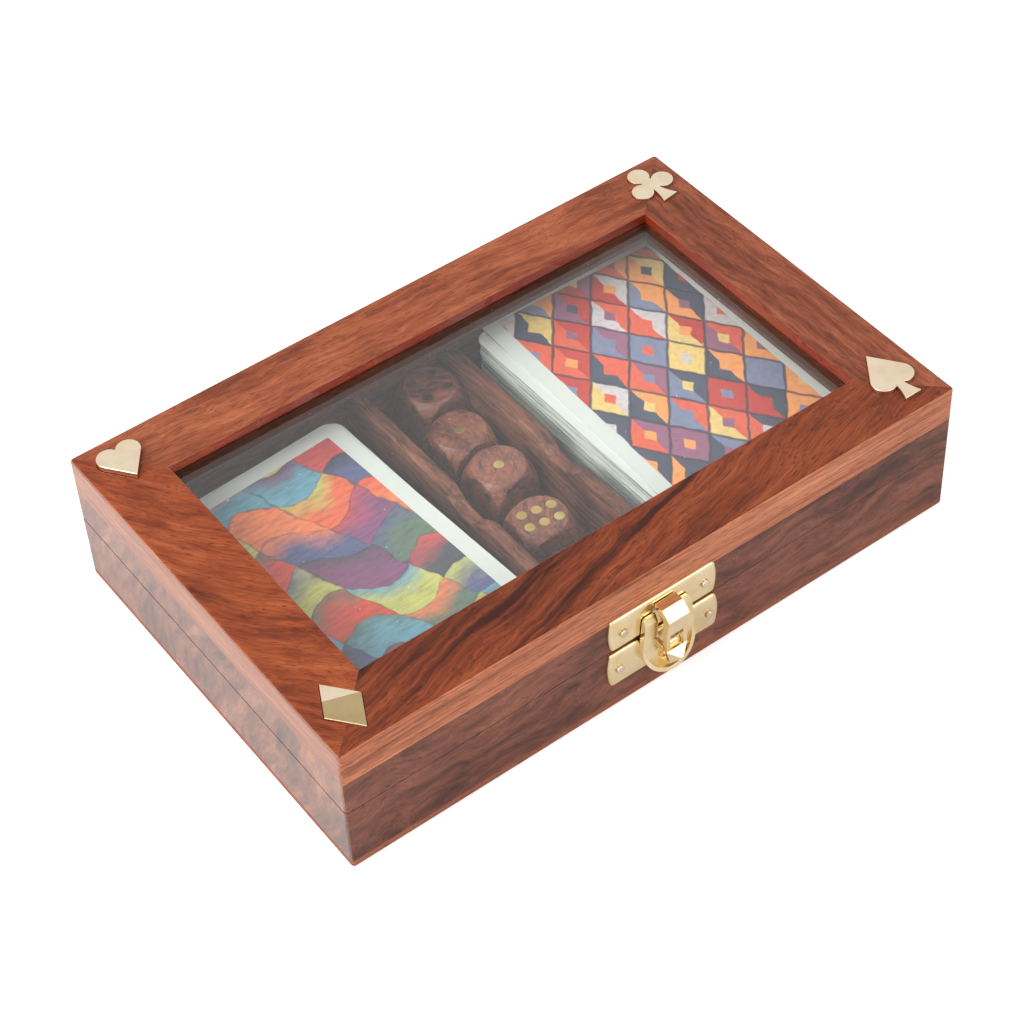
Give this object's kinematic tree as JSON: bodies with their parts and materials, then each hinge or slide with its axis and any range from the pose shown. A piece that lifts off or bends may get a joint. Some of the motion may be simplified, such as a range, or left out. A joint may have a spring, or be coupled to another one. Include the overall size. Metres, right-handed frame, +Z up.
{
  "type": "wooden games box",
  "caption": "Hinged wooden games box with a glazed lid and front latch; three compartments hold two card decks and a row of dice. Brass card-suit inlays mark the lid's corners.",
  "frame": {"origin": "centre of the underside", "axes": "+Z up, +X along the long sides to the right when the latch faces the viewer, -Y out of the front where the latch is"},
  "size_m": [0.178, 0.1244, 0.0415],
  "materials": {
    "rail_wood": "polished, figured, red-brown",
    "wall_wood": "polished, dark figured",
    "bottom_wood": "satin, straight grain",
    "partition_wood": "satin",
    "glass": "clear float glass",
    "inlay_brass": "polished, pale",
    "hinge_brass": "satin",
    "latch_brass": "polished",
    "pip_brass": "slightly tarnished",
    "dice_wood": "waxed, fine grain",
    "cards_left": "coated card, printed backs, white edges",
    "cards_right": "coated card, printed backs, white edges"
  },
  "bodies": {
    "base": {"bottom_board": "bottom_wood", "base_wall_front": "wall_wood", "base_wall_back": "wall_wood", "base_wall_left": "wall_wood", "base_wall_right": "wall_wood", "partition_left": "partition_wood", "partition_right": "partition_wood", "latch_plate_base": "latch_brass", "latch_pins_base": "latch_brass", "latch_stirrup": "latch_brass", "latch_pivot_pin": "latch_brass", "hinge_leaf_base_left": "hinge_brass", "hinge_leaf_base_right": "hinge_brass", "hinge_pins": "hinge_brass", "hinge_screws_base": "hinge_brass", "deck_left": "cards_left", "card_left_top": "cards_left", "deck_right": "cards_right", "card_right_second": "cards_right", "card_right_top": "cards_right", "die_1": "dice_wood", "die_2": "dice_wood", "die_3": "dice_wood", "die_4": "dice_wood", "die_1_pips": "pip_brass", "die_2_pips": "pip_brass", "die_3_pips": "pip_brass", "die_4_pips": "pip_brass"},
    "lid": {"lid_rail_front": "rail_wood", "lid_rail_back": "rail_wood", "lid_rail_left": "rail_wood", "lid_rail_right": "rail_wood", "glass_pane": "glass", "lid_wall_front": "wall_wood", "lid_wall_back": "wall_wood", "lid_wall_left": "wall_wood", "lid_wall_right": "wall_wood", "heart_inlay": "inlay_brass", "club_inlay": "inlay_brass", "spade_inlay": "inlay_brass", "diamond_inlay": "inlay_brass", "latch_plate_lid": "latch_brass", "latch_pins_lid": "latch_brass", "hinge_leaf_lid_left": "hinge_brass", "hinge_leaf_lid_right": "hinge_brass", "hinge_screws_lid": "hinge_brass"},
    "catch": {"latch_catch": "latch_brass"}
  },
  "joints": [
    {"name": "lid", "type": "hinge", "parent": "base", "child": "lid", "pos_m": [0, 0.05845, 0.02], "axis": [-1, 0, 0], "range_deg": [0, 100]},
    {"name": "catch", "type": "hinge", "parent": "base", "child": "catch", "pos_m": [-0.001, -0.06045, 0.0169], "axis": [1, 0, 0], "range_deg": [0, 25]}
  ]
}
